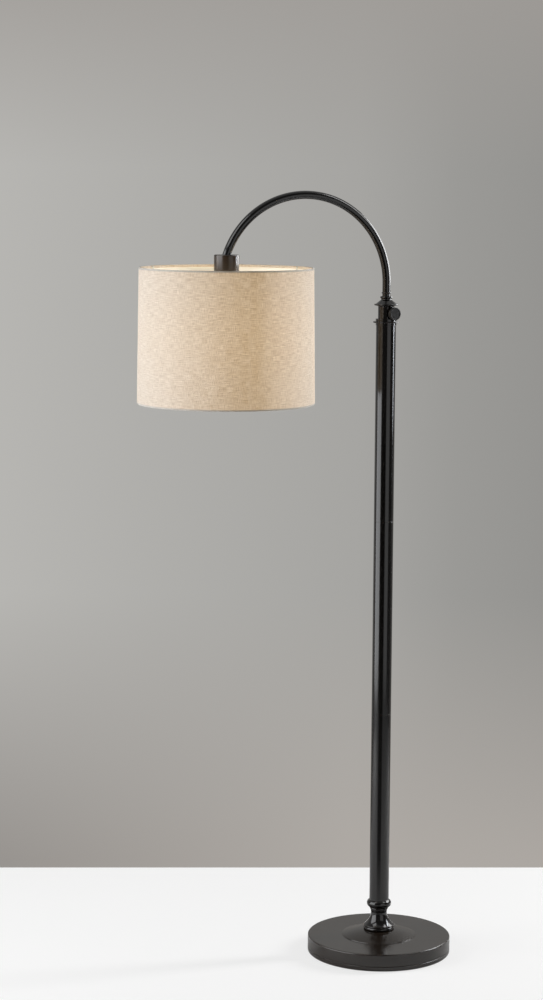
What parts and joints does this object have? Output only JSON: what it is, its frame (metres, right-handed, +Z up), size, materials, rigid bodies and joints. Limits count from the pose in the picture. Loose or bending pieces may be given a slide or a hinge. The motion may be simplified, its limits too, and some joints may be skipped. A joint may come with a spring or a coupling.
{
  "type": "floor lamp",
  "caption": "Floor lamp with a heavy round base, a straight pole, a telescoping arched arm with a clamp knob, and a linen drum shade hanging from the arm.",
  "frame": {"origin": "on the floor at the centre of the round base, on the pole's axis", "axes": "+Z up along the pole; the arm and the shade point along -X; the cable inlet faces +X"},
  "size_m": [0.6459, 0.3414, 1.5224],
  "materials": {
    "bronze": "satin dark bronze",
    "iron": "rough",
    "felt": "felt",
    "grommet_rubber": "matte",
    "steel": "zinc plated",
    "white_wire": "white enamel",
    "nylon": "natural nylon",
    "knob_black": "fine textured black",
    "porcelain": "glazed porcelain",
    "brass": "satin",
    "lining": "white styrene lining",
    "linen": "natural linen weave",
    "bulb_glass": "frosted"
  },
  "bodies": {
    "stand": {"base_cover": "bronze", "base_weight": "iron", "base_felt": "felt", "cable_grommet": "grommet_rubber", "tie_tube": "steel", "tie_washer": "steel", "tie_nut": "steel", "neck_ring": "bronze", "neck_bell": "bronze", "neck_seat_ring": "bronze", "neck_collar": "bronze", "pole_foot_plug": "steel", "pole_lower": "bronze", "pole_coupling_lower": "bronze", "pole_middle": "bronze", "pole_coupling_upper": "bronze", "pole_upper": "bronze", "head_collar": "bronze", "head_cap": "bronze", "guide_bush": "nylon"},
    "clamp_shoe": {"clamp_pad": "nylon"},
    "clamp_turner": {"clamp_screw": "steel", "clamp_knob": "knob_black"},
    "arm_slider": {"arm_guide_ring": "nylon"},
    "arm": {"arm_snap_ring": "steel", "arm_foot": "steel", "arm_stop_ring": "bronze", "arm_tube": "bronze", "arm_end_nipple": "steel", "cup_lock_nut": "steel", "socket_cup": "bronze", "lampholder_housing": "knob_black", "lampholder_body": "porcelain", "screw_shell": "brass", "centre_contact": "brass", "switch_leaf": "brass", "shade_clamp_ring": "knob_black", "shade_spider": "white_wire", "shade_top_ring": "steel", "shade_bottom_ring": "steel", "shade_lining": "lining", "shade_linen": "linen", "bulb_cap": "steel", "bulb_contact": "brass", "bulb_glass": "bulb_glass"},
    "switch": {"switch_key": "knob_black", "switch_drum": "brass"}
  },
  "joints": [
    {"name": "height_slide", "type": "slide", "parent": "stand", "child": "arm_slider", "axis": [0, 0, 1], "range_m": [-0.0047, 0.248]},
    {"name": "arm_swivel", "type": "hinge", "parent": "arm_slider", "child": "arm", "pos_m": [0, 0, 1], "axis": [0, 0, 1], "range_deg": [-170, 170]},
    {"name": "clamp_travel", "type": "slide", "parent": "stand", "child": "clamp_shoe", "axis": [0.1994, -0.9799, 0], "range_m": [0, 0.002]},
    {"name": "clamp_turn", "type": "hinge", "parent": "clamp_shoe", "child": "clamp_turner", "pos_m": [0, 0, 1.2852], "axis": [0.1994, -0.9799, 0], "range_deg": [0, 720]},
    {"name": "switch_turn", "type": "hinge", "parent": "arm", "child": "switch", "pos_m": [-0.33112, 0, 1.36109], "axis": [0, 1, 0], "continuous": true}
  ],
  "couplings": [
    {"joint": "clamp_travel", "follows": "clamp_turn", "m_per_rad": 0.00015915}
  ]
}
